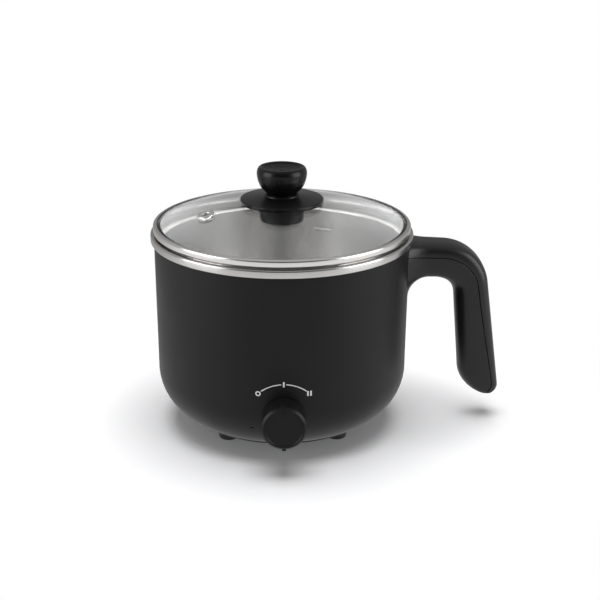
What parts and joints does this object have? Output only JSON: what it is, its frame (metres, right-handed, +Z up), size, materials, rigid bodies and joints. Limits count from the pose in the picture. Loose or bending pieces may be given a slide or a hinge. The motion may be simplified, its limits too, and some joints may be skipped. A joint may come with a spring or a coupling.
{
  "type": "electric cooking pot",
  "caption": "Small electric pot with a black rounded shell, steel inner pot, side handle, front rotary control and a loose domed glass lid with a steel band and black knob.",
  "frame": {"origin": "on the pot's axis, at the height of the surface it stands on, midway between the four feet", "axes": "+Z up along the pot's axis, +X out along the handle, the control knob faces -Y and the power inlet faces +Y"},
  "size_m": [0.2312, 0.1844, 0.1736],
  "materials": {
    "shell_black": "fine matt",
    "handle_black": "fine matt",
    "knob_black": "satin",
    "cap_black": "satin",
    "steel": "turned and brushed",
    "band_steel": "polished",
    "heater_aluminium": "cast",
    "screw_steel": "zinc plated",
    "bracket_steel": "plain",
    "brass": "plain",
    "rubber_black": "matt",
    "silicone": "matt",
    "switch_plastic": "matt",
    "ceramic_white": "matt",
    "lens_red": "clear",
    "lid_glass": "clear",
    "lamp_glass": "clear"
  },
  "bodies": {
    "pot": {"outer_shell": "shell_black", "inner_pot": "steel", "rim_gasket": "silicone", "base_cover": "shell_black", "foot_rear_right": "rubber_black", "foot_rear_left": "rubber_black", "foot_front_left": "rubber_black", "foot_front_right": "rubber_black", "tie_posts": "heater_aluminium", "base_screws": "screw_steel", "heating_plate": "heater_aluminium", "heating_tube": "heater_aluminium", "heater_terminals": "ceramic_white", "thermostat_cap": "heater_aluminium", "thermostat_body": "ceramic_white", "thermostat_bracket": "bracket_steel", "bracket_screws": "screw_steel", "thermal_fuse": "bracket_steel", "fuse_clip": "bracket_steel", "rotary_switch": "switch_plastic", "switch_tags": "brass", "switch_nut": "screw_steel", "indicator_lens": "lens_red", "indicator_lamp": "lamp_glass", "inlet_housing": "switch_plastic", "inlet_pins": "brass", "handle_cover": "handle_black", "handle_grip": "handle_black", "handle_screws": "screw_steel"},
    "control": {"control_knob": "knob_black", "switch_shaft": "screw_steel"},
    "lid": {"lid_glass": "lid_glass", "lid_band": "band_steel", "vent_grommet": "band_steel", "lid_washer": "silicone", "lid_knob_base": "cap_black", "lid_knob": "cap_black", "lid_knob_cap": "cap_black", "lid_knob_screw": "screw_steel"}
  },
  "joints": [
    {"name": "control_turn", "type": "hinge", "parent": "pot", "child": "control", "pos_m": [0, -0.0831, 0.0355], "axis": [0, -1, 0], "range_deg": [-45, 45]},
    {"name": "lid_lift", "type": "slide", "parent": "pot", "child": "lid", "axis": [0, 0, 1], "range_m": [0, 0.12]}
  ]
}
